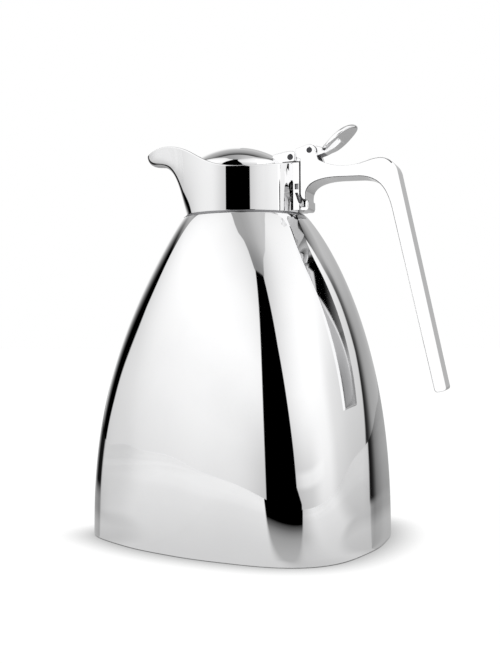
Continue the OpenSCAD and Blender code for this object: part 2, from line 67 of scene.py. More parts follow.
camera_data = bpy.data.cameras.new("camera")
camera_data.lens = LENS
camera_data.sensor_width = FILM
camera_data.shift_y = LENS_SHIFT
camera = bpy.data.objects.new("camera", camera_data)
bpy.context.scene.collection.objects.link(camera)
camera_place = toward * CAMERA_FAR + rightward * CAMERA_SIDE + Vector((0, 0, CAMERA_HIGH))
camera.matrix_world = (Matrix.Translation(camera_place * MM)
                       @ Matrix.Rotation(CAMERA_TURN, 4, "Z") @ Matrix.Rotation(pi / 2, 4, "X")
                       @ Matrix.Rotation(CAMERA_ROLL, 4, "Z"))
bpy.context.scene.camera = camera
bpy.context.scene.view_settings.view_transform = "Standard"
print("camera at", [round(v, 1) for v in camera_place], "mm")

# %% [markdown]
# ## Shader maths
#
# Node trees are easier to read as sums. `Wire` wraps one socket, and Python's own operators
# on it add the Math nodes. Every other node comes from `Wire.node`.

# %% Wires
class Wire:
    """A socket of a node tree that + - * / and abs() work on."""

    def __init__(self, tree, socket):
        self.tree, self.socket = tree, socket

    @classmethod
    def node(cls, tree, kind, settings=None, inputs=None, out=0):
        """Adds a node, sets its settings, then the values or wires of its sockets."""
        made = tree.nodes.new(kind)
        for name, value in (settings or {}).items():
            if name == "stops":
                ramp = made.color_ramp
                while len(ramp.elements) < len(value):
                    ramp.elements.new(0.5)
                for element, (at, grey) in zip(ramp.elements, value):
                    element.position = at
                    element.color = (grey, grey, grey, 1)
            else:
                setattr(made, name, value)
        for name, value in (inputs or {}).items():
            if isinstance(value, Wire):
                tree.links.new(value.socket, made.inputs[name])
            else:
                made.inputs[name].default_value = value
        return cls(tree, made.outputs[out]) if made.outputs else None

    def math(self, operation, *values):
        return Wire.node(self.tree, "ShaderNodeMath", {"operation": operation}, dict(enumerate(values)))

    def __add__(self, other): return self.math("ADD", self, other)
    def __radd__(self, other): return self.math("ADD", other, self)
    def __sub__(self, other): return self.math("SUBTRACT", self, other)
    def __rsub__(self, other): return self.math("SUBTRACT", other, self)
    def __mul__(self, other): return self.math("MULTIPLY", self, other)
    def __rmul__(self, other): return self.math("MULTIPLY", other, self)
    def __truediv__(self, other): return self.math("DIVIDE", self, other)
    def __abs__(self): return self.math("ABSOLUTE", self)

    def rise(self, start, end):
        """0 below start, 1 above end, and smooth between them."""
        return Wire.node(self.tree, "ShaderNodeMapRange", {"interpolation_type": "SMOOTHSTEP"},
                         {"Value": self, "From Min": start, "From Max": end})

    def ramp(self, low, high, stops):
        """A curve of grey levels over low to high, as (position, level) pairs."""
        spread = [((at - low) / (high - low), level) for at, level in stops]
        share = (self - low) / (high - low)
        return Wire.node(self.tree, "ShaderNodeValToRGB", {"stops": spread}, {"Fac": share})

    def curve(self, low, high, full, stops):
        """A ramp of values up to full, since a ramp's own levels end at 1."""
        return self.ramp(low, high, [(at, value / full) for at, value in stops]) * full


def mix(low, high, share):
    """low where share is 0 and high where it is 1."""
    return low + (high - low) * share


def parts(wire):
    return [Wire.node(wire.tree, "ShaderNodeSeparateXYZ", inputs={"Vector": wire}, out=i) for i in range(3)]


def camera_parts(wires):
    """Shares of a direction or place towards the camera and to the camera's right."""
    return (wires[0] * toward.x + wires[1] * toward.y,
            wires[0] * rightward.x + wires[1] * rightward.y)


def bearing(side, front):
    """Angle in degrees: 0 towards the camera, + to the right."""
    return side.math("ARCTAN2", side, front) * (180 / pi)

# %% [markdown]
# ## The studio
#
# A mirror shows the room, so the room is designed with care: two broad soft lights stand left
# and right, the side towards the camera stays dark, and narrow dark gaps separate the lights
# from a pale backdrop. Real cards and area lights could do it. Here the studio is painted on
# the world instead, as brightness over azimuth and height, because that gives no noise, blocks
# no other view and can be read as one sum. Each lamp is brightest along one upright line and
# loses a little low down, next to the dark front. The right lamp also fades towards its far
# edge, and a low window, a few degrees high, lifts its near part.

# %% The studio around the pot
world = bpy.data.worlds.new("studio")
bpy.context.scene.world = world
world.use_nodes = True
sky = world.node_tree
sky.nodes.clear()
direction = Wire.node(sky, "ShaderNodeTexCoord", out="Generated")
axes = parts(direction)
ahead, aside = camera_parts(axes)
azimuth = bearing(aside, ahead)
height = axes[2].math("ARCSINE", axes[2]) * (180 / pi)         # above the horizon
span = abs(azimuth)
leftward = 1 - azimuth.rise(-1, 1)                             # 1 on the spout's side

LAMP_MIDDLE = 78                  # azimuth of each lamp's brightest line
FALL_RIGHT, FALL_LEFT, FALL_HIGH = 5e-5, 7.2e-5, 5.5e-5       # loss per square degree from it
lamp_peak = height.ramp(-20, 90, [
    (-20, 0.60), (-10, 0.66), (-5, 0.74), (0, 0.81), (8, 0.91), (18, 0.98), (30, 1.08), (45, 1.05),
    (60, 0.95), (72, 0.86), (90, 0.8)])
off_centre = span - LAMP_MIDDLE
falloff = mix(mix(FALL_RIGHT, FALL_LEFT, leftward), FALL_HIGH, height.rise(48, 62))
studio = lamp_peak - off_centre * off_centre * falloff
low_down = 1 - height.rise(4, 24)
studio = studio * (1 - low_down * mix(0.2, 0, span.rise(38, 70)))
far_edge = 0.155 * azimuth.rise(82, 104) * (1 - height.rise(12, 40))
studio = studio * (1 - far_edge)
window = azimuth.ramp(0, 90, [
    (8, 0), (10, 0.14), (14, 0.19), (25, 0.27), (37, 0.27), (49, 0.18), (60, 0.08), (74, 0)])
studio = studio * (1 + window * height.rise(3.8, 5.6) * (1 - height.rise(7.4, 9.8)))

left_edge = height * height * 0.0058 - 38.5
right_edge = height.curve(-10, 60, 40, [(-10, 20), (1, 20), (5, 11), (14, 9), (28, 5), (43, 1), (60, 0)]) - 1
front = (azimuth - left_edge).rise(-0.6, 0.6) * (right_edge - azimuth).rise(-0.7, 0.7)
studio = studio * (1 - front)

# %% [markdown]
# Behind the pot the lamps end at a narrow dark gap on each side, and a grey backdrop follows.
# Its edges lean, as the lamps' frames do, so the gap's azimuth is a curve over the height.

# %% The backdrop behind the pot
right_gap = height.curve(-10, 60, 200, [
    (-10, 134.6), (0, 133), (10, 134.7), (18, 132.2), (28, 127.5), (38, 125), (60, 120)])
beyond = span - right_gap
low_back = beyond.ramp(-3, 50, [
    (-3, 0.02), (0, 0.02), (2, 0.06), (4, 0.14), (7, 0.27), (11, 0.35), (20, 0.4), (26, 0.45), (46, 0.6)])
high_back = beyond.ramp(-3, 50, [(-3, 0.08), (0, 0.1), (2, 0.2), (4.5, 0.42), (8, 0.5), (46, 0.53)])
right_back = mix(low_back, high_back, height.rise(4, 22))
left_gap = height.curve(-10, 60, 200, [
    (-10, 132.5), (-2, 133), (4, 132.4), (8.5, 134.2), (13, 137), (24, 134.6), (40, 132)])
past = span - left_gap
left_back = (past + 4 * height.rise(0, 24)).ramp(-1, 50, [
    (-1, 0.0), (10, 0.0), (12, 0.02), (15, 0.1), (18, 0.2), (21, 0.34), (26, 0.58), (33, 0.85),
    (46, 0.9)])
behind = mix(beyond.rise(-2.8, -1.4), past.rise(-0.8, 0.8), leftward)
studio = mix(studio, mix(right_back, left_back, leftward), behind)

# %% [markdown]
# The ceiling is a grey sheet between the lamps. On a flat plane overhead its edges are nearly
# straight lines, so it is drawn in the plane's own coordinates: sideways and forwards, each
# divided by the height. Behind it the backdrop's top darkens into a last narrow gap.

# %% The ceiling
up = axes[2].math("MAXIMUM", axes[2], 0.08)       # never 0, so that it can divide
over_side, over_front = aside / up, ahead / up
roof = over_front.ramp(-3, -0.5, [
    (-3, 0.56), (-1.6, 0.56), (-1.3, 0.43), (-1.07, 0.38), (-0.92, 0.28), (-0.83, 0.2), (-0.76, 0.08),
    (-0.7, 0.05), (-0.66, 0.12), (-0.62, 0.38)])
studio = mix(studio, roof, behind * height.rise(20, 32))
# The near side's levels are raised by 1, because a ramp holds nothing negative.
near_side = over_front.ramp(-1, 1, [
    (-1, 0.73), (0.25, 0.745), (0.33, 0.76), (0.377, 0.813), (0.43, 0.825), (0.575, 0.818)]) - 1
far_side = over_front.ramp(-1, 1, [
    (-1, 0.32), (-0.025, 0.314), (0.085, 0.296), (0.166, 0.266), (0.238, 0.23), (0.324, 0.179),
    (0.404, 0.093), (0.463, 0.052), (0.532, 0.008)])
ceiling = over_side.ramp(-0.3, 0.35, [
    (-0.25, 0.36), (-0.1, 0.36), (0, 0.41), (0.1, 0.5), (0.2, 0.565), (0.3, 0.57)])
ceiling = ceiling * (1 - 0.35 * over_front.rise(0.3, 0.53))
SHEET_FRONT, SHEET_BACK = 0.535, 0.655
sheet = ((over_side - near_side).rise(-0.008, 0.008) * (far_side - over_side).rise(-0.008, 0.008)
         * (SHEET_FRONT - over_front).rise(-0.01, 0.01) * (over_front + SHEET_BACK).rise(-0.02, 0.02)
         * height.rise(20, 30))
studio = mix(studio, ceiling, sheet)

STUDIO_POWER = 1.06
seen = Wire.node(sky, "ShaderNodeBackground", inputs={"Color": (1, 1, 1, 1), "Strength": 1.0})
lit = Wire.node(sky, "ShaderNodeBackground", inputs={"Color": studio, "Strength": STUDIO_POWER})
straight = Wire.node(sky, "ShaderNodeLightPath", out="Is Camera Ray")
both = Wire.node(sky, "ShaderNodeMixShader", inputs={0: straight, 1: lit, 2: seen})
Wire.node(sky, "ShaderNodeOutputWorld", inputs={"Surface": both})
print("studio:", len(sky.nodes), "nodes")

# %% [markdown]
# ## Floor and mirrored table
#
# The camera looks at a pale, glowing floor, darker only close to the pot, where a painted contact
# shadow lies over its faint real one. The polished sides would mirror it too, and a floor as bright
# as paper would wash their lower halves out. So a second, greyer table lies just under it and shows
# only in reflections. Its greys are painted light and shade: a painted dark lane of shade runs over
# it towards the camera, where the lamps don't reach.

# %% Stage
def plain_material(name):
    material = bpy.data.materials.new(name)
    material.use_nodes = True
    material.node_tree.nodes.clear()
    return material, material.node_tree


def surface(tree, shader):
    Wire.node(tree, "ShaderNodeOutputMaterial", inputs={"Surface": shader})


def noise(tree, place, scale, detail):
    return Wire.node(tree, "ShaderNodeTexNoise", inputs={"Vector": place, "Scale": scale, "Detail": detail})


def blended(tree, share, dark, light):
    """A colour between dark and light."""
    colours = {0: share, 6: dark + (1,), 7: light + (1,)}
    return Wire.node(tree, "ShaderNodeMix", {"data_type": "RGBA"}, colours, out=2)


def chain(bm, points, closed=False):
    """Joins points by edges and returns what was made."""
    verts = [bm.verts.new(p) for p in points]
    edges = [bm.edges.new(pair) for pair in zip(verts, verts[1:] + (verts[:1] if closed else []))]
    return verts + edges


def stage_sheet(name, corners, material, facing):
    """A flat sheet between corners in millimetres, with its front towards facing."""
    bm = bmesh.new()
    made = chain(bm, [Vector(c) * MM for c in corners], closed=True)
    bmesh.ops.contextual_create(bm, geom=made)
    bm.normal_update()
    bmesh.ops.reverse_faces(bm, faces=[f for f in bm.faces if f.normal.dot(Vector(facing)) < 0])
    mesh = bpy.data.meshes.new(name)
    bm.to_mesh(mesh)
    bm.free()
    mesh.materials.append(material)
    sheet = bpy.data.objects.new(name, mesh)
    bpy.context.scene.collection.objects.link(sheet)
    return sheet


GROUND_HALF, TABLE_HIGH = 6000, -0.2       # half the width of floor and table; the table's height


def ground(z):
    return [(x * GROUND_HALF, y * GROUND_HALF, z) for x, y in ((-1, -1), (1, -1), (1, 1), (-1, 1))]


# The floor glows evenly, and near the pot ambient occlusion dims that glow into a painted contact shadow.
FLOOR_GLOW, FLOOR_WHITE = 0.98, 0.08
PAINTED_SHADOW_REACH = 0.021           # reach in metres of the soft dark edge under the pot
floor_material, tree = plain_material("pale_floor")
shade = Wire.node(tree, "ShaderNodeBsdfDiffuse", inputs={"Color": (FLOOR_WHITE,) * 3 + (1,)})
painted_contact_shadow = Wire.node(tree, "ShaderNodeAmbientOcclusion", {"samples": 16}, {"Distance": PAINTED_SHADOW_REACH}, out=1)
glow = Wire.node(tree, "ShaderNodeEmission", inputs={"Color": painted_contact_shadow, "Strength": FLOOR_GLOW})
surface(tree, Wire.node(tree, "ShaderNodeAddShader", inputs={0: shade, 1: glow}))
floor = stage_sheet("pale_floor", ground(0), floor_material, (0, 0, 1))
floor.visible_glossy = False
print("floor: glow", FLOOR_GLOW, "and white", FLOOR_WHITE)

# %% [markdown]
# The table's grey is painted light that follows the distance from the neck's axis. It carries
# painted shade behind the pot and to the right of the lane. Behind the pot the table also shows
# the dark gaps between lamps and backdrop, as painted shadows. They start at the foot's corners,
# so they are drawn over the angle seen from there: one soft curve close by and, further off, one
# for each side.

# %% The table in the reflections
table_material, tree = plain_material("mirrored_table")
place = Wire.node(tree, "ShaderNodeTexCoord", out="Object")
spot = [part * (1 / MM) for part in parts(place)[:2]]
out_front, out_side = camera_parts(spot)
squared = out_front * out_front + out_side * out_side
far_off = squared.math("SQRT", squared)
# Painted light: the table grows paler with the distance from the neck's axis.
painted_table_light = far_off.ramp(0, 3000, [
    (80, 0.66), (110, 0.685), (190, 0.73), (300, 0.77), (470, 0.8), (620, 0.85), (1000, 0.883),
    (3000, 0.892)])
around = bearing(out_side, out_front)
right_half = out_side.rise(-40, 40)
close = 1 - far_off.rise(80, 210)
# Painted shade behind the pot, on the left and on the right.
dim_share = far_off.ramp(80, 400, [(80, 0.18), (120, 0.14), (170, 0.27), (400, 0.24)])
dim_left = abs(around).rise(92 - 32 * close, 124 - 36 * close)
dim_right = around.rise(80 - 40 * close, 106 - 48 * close)
painted_table_light = painted_table_light * (1 - dim_share * mix(dim_left, dim_right, right_half))

LANE_SLOPE, LANE_SIDE = 0.37, 9.7          # the lane's right edge: side = slope * front - 9.7
LEFT_SLOPE, LEFT_SIDE = 0.88, 101          # and its left edge: side = 101 - slope * front
# Painted shade to the right of the lane.
beside_lane = (out_side - LANE_SLOPE * out_front + LANE_SIDE).rise(-10, 10) * (1 - around.rise(14, 46))
painted_table_light = painted_table_light * (1 - beside_lane * mix(0.14, 0.36, far_off.rise(110, 230)))

# Painted shadows behind the pot, starting at the foot's corners.
CORNER_LEFT, CORNER_RIGHT, CORNER_FRONT = 79, 66, 42      # where the dark gaps start
beyond_foot = abs(out_side) - mix(CORNER_LEFT, CORNER_RIGHT, right_half)
turn = abs(bearing(beyond_foot, out_front - CORNER_FRONT * right_half))
near_back = turn.ramp(100, 180, [
    (128, 1), (132.4, 0.95), (134, 0.5), (138, 0.42), (143, 0.49), (151, 0.54), (160, 0.68), (180, 0.75)])
right_back = turn.ramp(100, 180, [
    (129, 1), (132.1, 0.9), (133, 0.01), (135.2, 0.02), (136.8, 0.05), (139.5, 0.16), (142, 0.28),
    (146.5, 0.37), (151, 0.44), (157.5, 0.56), (180, 0.72)])
left_back = turn.ramp(100, 180, [
    (129, 1), (132.5, 0.95), (135.5, 0.01), (147, 0.01), (150, 0.1), (156, 0.35), (162, 0.75),
    (180, 0.8)])
far_back = mix(left_back, right_back, right_half)
near_back = 1 - (1 - near_back) * mix(0.62, 1, far_off.rise(100, 200))
further = far_off.rise(mix(230, 205, right_half), mix(410, 285, right_half))
painted_table_light = painted_table_light * mix(near_back, far_back, further)

# The painted dark lane of shade towards the camera, where the lamps don't reach.
lane = ((out_side + LEFT_SLOPE * out_front - LEFT_SIDE).rise(-10, 10)
        * (LANE_SLOPE * out_front - LANE_SIDE - out_side).rise(-10, 10))
painted_lane_shade = out_front.ramp(60, 420, [(60, 0.46), (120, 0.44), (200, 0.33), (300, 0.12), (400, 0.0)])
white = mix(painted_table_light, painted_lane_shade, lane * out_front.rise(70, 90))
surface(tree, Wire.node(tree, "ShaderNodeBsdfDiffuse", inputs={"Color": white}))
table = stage_sheet("mirrored_table", ground(TABLE_HIGH), table_material, (0, 0, 1))
table.visible_camera = table.visible_diffuse = table.visible_shadow = False
print("mirrored table:", len(tree.nodes), "nodes")

# %% [markdown]
# Cards give the flat cheeks of the castings something white or black to mirror. Their outlines
# follow the handle's, so they are cut once the handle is there.

# %% Card materials
def card(name, brightness):
    """A card that shows its front only, and only in reflections."""
    material, tree = plain_material(name)
    away = Wire.node(tree, "ShaderNodeNewGeometry", out="Backfacing")
    clear = Wire.node(tree, "ShaderNodeBsdfTransparent")
    glow = Wire.node(tree, "ShaderNodeEmission", inputs={"Strength": brightness})
    surface(tree, Wire.node(tree, "ShaderNodeMixShader", inputs={0: away, 1: glow, 2: clear}))
    return material


white_card, black_card = card("white_card", 1.12), card("black_card", 0.0)

print("cards:", white_card.name, black_card.name)

# %% [markdown]
# ## Polished steel
#
# The shell, collar and dome are drawn from 18/10 steel sheet and buffed to a mirror. A perfect
# mirror looks computed, so the roughness wanders a little, as the buffing wheel and a wiping
# cloth leave it, and very fine polishing lines break up the edges of the reflections.

# %% Steel materials
def metal(name, tint, rough, spread, patch, scratch, bump, stretch=(1, 1, 1)):
    """A metal: roughness from rough to rough + spread in patches, with fine lines along stretch."""
    material, tree = plain_material(name)
    place = Wire.node(tree, "ShaderNodeTexCoord", out="Object")
    cloud = noise(tree, place, patch, 3.0)
    long_way = Wire.node(tree, "ShaderNodeMapping", inputs={"Vector": place, "Scale": stretch})
    lines = noise(tree, long_way, scratch, 4.0)
    wear = cloud.rise(0.35, 0.75)
    colour = blended(tree, wear * 0.6 + lines * 0.4, tint, tuple(0.965 * c for c in tint))
    surface(tree, Wire.node(tree, "ShaderNodeBsdfPrincipled", inputs={
        "Base Color": colour, "Metallic": 1.0, "Roughness": wear * spread + lines * (spread * 0.4) + rough,
        "Normal": Wire.node(tree, "ShaderNodeBump", inputs={
            "Strength": bump, "Distance": 0.0001, "Height": lines})}))
    return material


polished_steel = metal("polished_steel", (0.94, 0.94, 0.945), 0.012, 0.02, 38, 900, 0.004)
cast_steel = metal("cast_steel", (0.93, 0.93, 0.935), 0.03, 0.035, 60, 700, 0.01)
# Dark steel: the seam ring's dark joint, and painted shade on faces in recesses and gaps.
joint_and_shade_steel = metal("joint_and_shade_steel", (0.3, 0.3, 0.31), 0.3, 0.12, 70, 500, 0.15)
satin_steel = metal("satin_steel", (0.74, 0.74, 0.75), 0.26, 0.1, 50, 420, 0.12, stretch=(1, 1, 14))
print("steels:", polished_steel.name, cast_steel.name, joint_and_shade_steel.name, satin_steel.name)

# %% [markdown]
# ## Plastic, silicone and foam
#
# The lid's plug and the seat are moulded, with a fine spark-eroded grain. Silicone is smoother
# and dusty in patches. The foam in the plug has cells, and the getter is a sintered tablet. One
# function makes all four from a colour, a grain size and a roughness.

# %% Other materials
def grained(name, dark, light, rough, grain, depth):
    """A dull material whose colour and relief follow a fine grain."""
    material, tree = plain_material(name)
    place = Wire.node(tree, "ShaderNodeTexCoord", out="Object")
    fine, cloud = noise(tree, place, grain, 3.0), noise(tree, place, 45.0, 2.0)
    colour = blended(tree, fine.rise(0.3, 0.7) * 0.7 + cloud * 0.3, dark, light)
    surface(tree, Wire.node(tree, "ShaderNodeBsdfPrincipled", inputs={
        "Base Color": colour, "Roughness": cloud * 0.18 + rough,
        "Normal": Wire.node(tree, "ShaderNodeBump", inputs={
            "Strength": depth, "Distance": 0.0002, "Height": fine})}))
    return material


dark_pin = metal("dark_pin", (0.06, 0.06, 0.065), 0.3, 0.12, 60, 600, 0.1)
black_plastic = grained("black_plastic", (0.018, 0.018, 0.02), (0.035, 0.035, 0.038), 0.42, 2600.0, 0.35)
silicone = grained("silicone", (0.03, 0.03, 0.032), (0.05, 0.05, 0.053), 0.5, 900.0, 0.1)
foam = grained("foam", (0.74, 0.7, 0.58), (0.88, 0.85, 0.75), 0.75, 700.0, 0.8)
getter_grain = grained("getter", (0.13, 0.125, 0.12), (0.26, 0.25, 0.235), 0.7, 1500.0, 0.6)
print("others:", dark_pin.name, black_plastic.name, silicone.name, foam.name, getter_grain.name)

# %% [markdown]
# ## Tools for sheet and castings
#
# Turned sheet starts as a chain of points that is spun round the neck's axis. Castings start
# as a side outline that is given its width, is carved by other blocks, and has its sharp edges
# rounded last, because a polished edge without a radius shows no highlight.

# %% Helpers for shapes
def spun(bm, made, steps):
    bmesh.ops.spin(bm, geom=made, cent=(0, 0, 0), axis=(0, 0, 1), angle=2 * pi, steps=steps, use_merge=True)


def turned(outline, steps=128, at=(0, 0), closed=True):
    """Spins an outline of [radius, height] points round an upright axis."""
    bm = bmesh.new()
    spun(bm, chain(bm, [(r, 0, z) for r, z in outline], closed), steps)
    bmesh.ops.remove_doubles(bm, verts=bm.verts, dist=1e-4)
    flat = [f for f in bm.faces if f.calc_area() < 1e-8]
    bmesh.ops.delete(bm, geom=flat, context="FACES_ONLY")
    bmesh.ops.recalc_face_normals(bm, faces=bm.faces)
    bmesh.ops.translate(bm, verts=bm.verts, vec=(at[0], at[1], 0))
    return bm


def slab(outline, y0, y1):
    """A plate whose outline lies in the X-Z plane, from y0 to y1."""
    bm = bmesh.new()
    made = chain(bm, [(x, y0, z) for x, z in outline], closed=True)
    face = bmesh.ops.contextual_create(bm, geom=made)["faces"]
    grown = bmesh.ops.extrude_face_region(bm, geom=face)["geom"]
    moved = [g for g in grown if isinstance(g, bmesh.types.BMVert)]
    bmesh.ops.translate(bm, verts=moved, vec=(0, y1 - y0, 0))
    bmesh.ops.recalc_face_normals(bm, faces=bm.faces)
    return bm


def oblong(x0, z0, x1, z1):
    return [(x0, z0), (x1, z0), (x1, z1), (x0, z1)]


def block(low, high):
    return slab(oblong(low[0], low[2], high[0], high[2]), low[1], high[1])


def rod(radius, start, end, steps=48):
    """A round bar between two points."""
    start, end = Vector(start), Vector(end)
    bm = bmesh.new()
    turn = (end - start).to_track_quat("Z", "Y").to_matrix().to_4x4()
    bmesh.ops.create_cone(bm, cap_ends=True, segments=steps, radius1=radius, radius2=radius,
                          depth=(end - start).length,
                          matrix=Matrix.Translation((start + end) / 2) @ turn)
    return bm


def cross_rod(at, radius, y0=-20, y1=20, steps=48):
    """A round bar across the pot, by default longer than any piece is wide."""
    return rod(radius, (at[0], y0, at[1]), (at[0], y1, at[1]), steps)


def carved(body, tools, operation="DIFFERENCE", flat=0.5):
    """Cuts the tools out of the body, or joins them to it. Faces within flat degrees are merged."""
    made = []
    for bm in [body] + tools:
        mesh = bpy.data.meshes.new("carving")
        bm.to_mesh(mesh)
        bm.free()
        made.append(bpy.data.objects.new("carving", mesh))
        bpy.context.scene.collection.objects.link(made[-1])
    for tool in made[1:]:
        modifier = made[0].modifiers.new("carve", "BOOLEAN")
        modifier.object, modifier.operation, modifier.solver = tool, operation, "EXACT"
    result = bmesh.new()
    result.from_object(made[0], bpy.context.evaluated_depsgraph_get())
    for piece in made:
        bpy.data.meshes.remove(piece.data)
    bmesh.ops.remove_doubles(result, verts=result.verts, dist=1e-4)
    bmesh.ops.dissolve_limit(result, angle_limit=radians(flat), verts=result.verts, edges=result.edges)
    return result


def rounded(bm, radius, segments=3, sharper=32, where=lambda edge: True, clamp=True):
    """Rounds the edges at which two faces meet more sharply than that angle in degrees."""
    edges = [e for e in bm.edges if len(e.link_faces) == 2 and where(e)
             and e.calc_face_angle(0) > radians(sharper)]
    bmesh.ops.bevel(bm, geom=edges, offset=radius, offset_type="OFFSET", segments=segments, profile=0.5,
                    affect="EDGES", clamp_overlap=clamp, material=-1)
    return bm


def finished(bm, name, material, body, stands_for, weighted=False, painted_shade_at=None):
    """Turns a shape into a piece of the pot: in metres, smooth, painted, and riding on its body.
    The faces for whose middle the given test holds get the dark steel instead, as painted shade."""
    # Painted shade: the picked faces get the second material, the dark steel.
    for face in bm.faces if painted_shade_at else []:
        face.material_index = int(painted_shade_at(face.calc_center_median()))
    bmesh.ops.scale(bm, verts=bm.verts, vec=(MM, MM, MM))
    mesh = bpy.data.meshes.new(name)
    bm.to_mesh(mesh)
    bm.free()
    mesh.shade_smooth()
    # The dark steel is added only where painted shade is asked for.
    for finish in [material] + ([joint_and_shade_steel] if painted_shade_at else []):
        mesh.materials.append(finish)
    piece = bpy.data.objects.new(name, mesh)
    bpy.context.scene.collection.objects.link(piece)
    if weighted:
        modifier = piece.modifiers.new("flat faces stay flat", "WEIGHTED_NORMAL")
        modifier.weight, modifier.keep_sharp = 50, True
    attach(piece, body)
    if stands_for:
        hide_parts(*stands_for)
    low, high = [[round(f(v.co[i] for v in mesh.vertices) / MM, 1) for i in range(3)] for f in (min, max)]
    print(f"{name}: {len(mesh.polygons)} faces, {low} to {high} mm")

# %% [markdown]
# ## The shell
#
# The outer shell is spun round at the shoulder and spreads into a rounded triangle at the foot,
# with one corner under the spout. It starts here as a plain sleeve with one row of points for
# each height, and every point then moves to the radius that its angle and height ask for. A
# lathe alone can't make the corners, and lofting between drawn sections would leave flat spots
# that a mirror shows at once.

# %% Shell
SEAM = 167.4              # height of the seam between shell and collar
FOOT_RADIUS, SHOULDER_RADIUS = 76, 31
FOOT_SHIFT = 5.4          # the foot's middle lies this far towards the handle
SHELL_WALL = 1.0
NECK_RING = 1.0           # thickness of the ring that closes the shell


def swell(z):
    return max(0.0, 1 - max(0.0, z / SEAM) ** 2.35) ** 0.9


def mean_radius(z):
    return SHOULDER_RADIUS + (FOOT_RADIUS - SHOULDER_RADIUS) * swell(z)


def shell_radius(angle, z):
    corners = -0.13 * cos(3 * angle) + 0.028 * cos(6 * angle) - 0.008 * cos(9 * angle)
    return mean_radius(z) + FOOT_RADIUS * corners * swell(z) ** 1.7


def sleeve(rows, steps, place):
    """A tube of rows that place(row, angle) moves to its points, closed into a wall."""
    bm = bmesh.new()
    spun(bm, chain(bm, [(10, 0, i) for i in range(rows)]), steps)
    bmesh.ops.bridge_loops(bm, edges=[e for e in bm.edges if e.is_boundary])
    for vert in bm.verts:
        vert.co = place(round(vert.co.z), atan2(vert.co.y, vert.co.x))
    bmesh.ops.recalc_face_normals(bm, faces=bm.faces)
    return bm


SHELL_ROWS = 92
shell_top = SEAM - NECK_RING
climb = [1 - (1 - i / SHELL_ROWS) ** 1.5 for i in range(SHELL_ROWS + 1)]
outside = [(1.1, 0.3), (0.7, 0.3), (0.35, 0.42), (0.1, 0.7)] + [(0, 1 + (shell_top - 1) * c) for c in climb]
inside = [(SHELL_WALL, max(z, 1.2)) for inset, z in outside[::-3]] + [(1.25, 0.9)]
shell_rows = outside + inside


def shell_point(row, angle):
    inset, z = shell_rows[row]
    radius = shell_radius(angle, z) - inset
    return FOOT_SHIFT * swell(z) + radius * cos(angle), radius * sin(angle), z


AROUND_BODY, AROUND_COLLAR = 216, 288      # points round the shell and the sole, and the collar
finished(sleeve(len(shell_rows), AROUND_BODY, shell_point), "shell", polished_steel, "pot",
         ["outer_shell"])

# %% [markdown]
# ## The collar and its spout
#
# The collar is a plain ring at the handle and grows into a spout whose edge is rolled outwards,
# so that the last drop runs back. Both outlines have the same rows of points. Around the ring
# each row slides from the round outline to the spout's, by a share that falls off with the
# angle from the spout.

# %% Collar and spout
COLLAR_RADIUS, COLLAR_WALL = 30, 1.2
COLLAR_BORE = COLLAR_RADIUS - COLLAR_WALL
RIM_SIDE, RIM_BACK, LIP = 22.7, 25.6, 38.3       # heights above the seam
LIP_ROLL, LIP_MID, SPOUT_REACH = 5.7, 46.6, 53.4
NOSE_SPREAD = 15          # angle in degrees over which the round nose fades into the flare


def cubic(a, b, c, d, t):
    return tuple((1 - t) ** 3 * p + 3 * (1 - t) ** 2 * t * q + 3 * (1 - t) * t * t * r + t ** 3 * s
                 for p, q, r, s in zip(a, b, c, d))


def arc(centre, radius, start, end, steps):
    """Points of an arc, with its angles in degrees."""
    turns = [radians(start + (end - start) * i / steps) for i in range(steps + 1)]
    return [(centre[0] + radius * cos(t), centre[1] + radius * sin(t)) for t in turns]


def rim_height(side):
    """Height of the rim above the seam, by the angle in degrees from the spout."""
    if side < 100:
        dip = LIP_ROLL * exp(-(side / 14) ** 2)
        return RIM_SIDE + (LIP - RIM_SIDE) * cos(radians(0.9 * side)) ** 2.4 - dip
    return min(RIM_BACK, RIM_SIDE + 4.4 * sin(radians(0.9 * (side - 100))) ** 2)


TIP_HIGH = rim_height(0)
LIP_UNDER = LIP - 2 * LIP_ROLL
throat = [cubic((COLLAR_RADIUS + 0.4, 0), (COLLAR_RADIUS + 3.8, 6.6), (COLLAR_RADIUS + 2.2, LIP_UNDER - 0.5),
                (LIP_MID, LIP_UNDER), i / 22) for i in range(23)]
nose = throat + [(LIP_MID + (SPOUT_REACH - LIP_MID) * cos(radians(t)), TIP_HIGH + LIP_ROLL * sin(radians(t)))
                 for t in (-80, -70, -60, -50, -40, -30, -20, -13, -8, -5, -3, -1.5, 0)]
flare = [cubic((COLLAR_RADIUS + 0.4, 0), (COLLAR_RADIUS + 6, 10), (COLLAR_RADIUS + 14.5, 22),
               (SPOUT_REACH, TIP_HIGH), t)
         for t in [i / 31 for i in range(30)] + [0.96, 0.97, 0.98, 0.987, 0.994, 1]]
inward = (1, 0.994, 0.987, 0.98, 0.97, 0.96, 0.93, 0.9, 0.85, 0.8, 0.72, 0.64, 0.56, 0.48, 0.4, 0.3,
          0.2, 0.1, 0)
channel = [cubic((COLLAR_BORE, 0), (COLLAR_BORE + 2.2, 11.9), (COLLAR_BORE + 4.2, 27.8),
                 (SPOUT_REACH - COLLAR_WALL, TIP_HIGH), t) for t in inward]
wide_channel = [cubic((COLLAR_BORE, 0), (COLLAR_BORE + 5.8, 10), (COLLAR_BORE + 14.3, 22),
                      (SPOUT_REACH - COLLAR_WALL, TIP_HIGH), t) for t in inward]
collar_rows = ([(a, b, COLLAR_RADIUS, 1) for a, b in zip(nose, flare)]
               + [(a, b, COLLAR_BORE, -1) for a, b in zip(channel, wide_channel)])


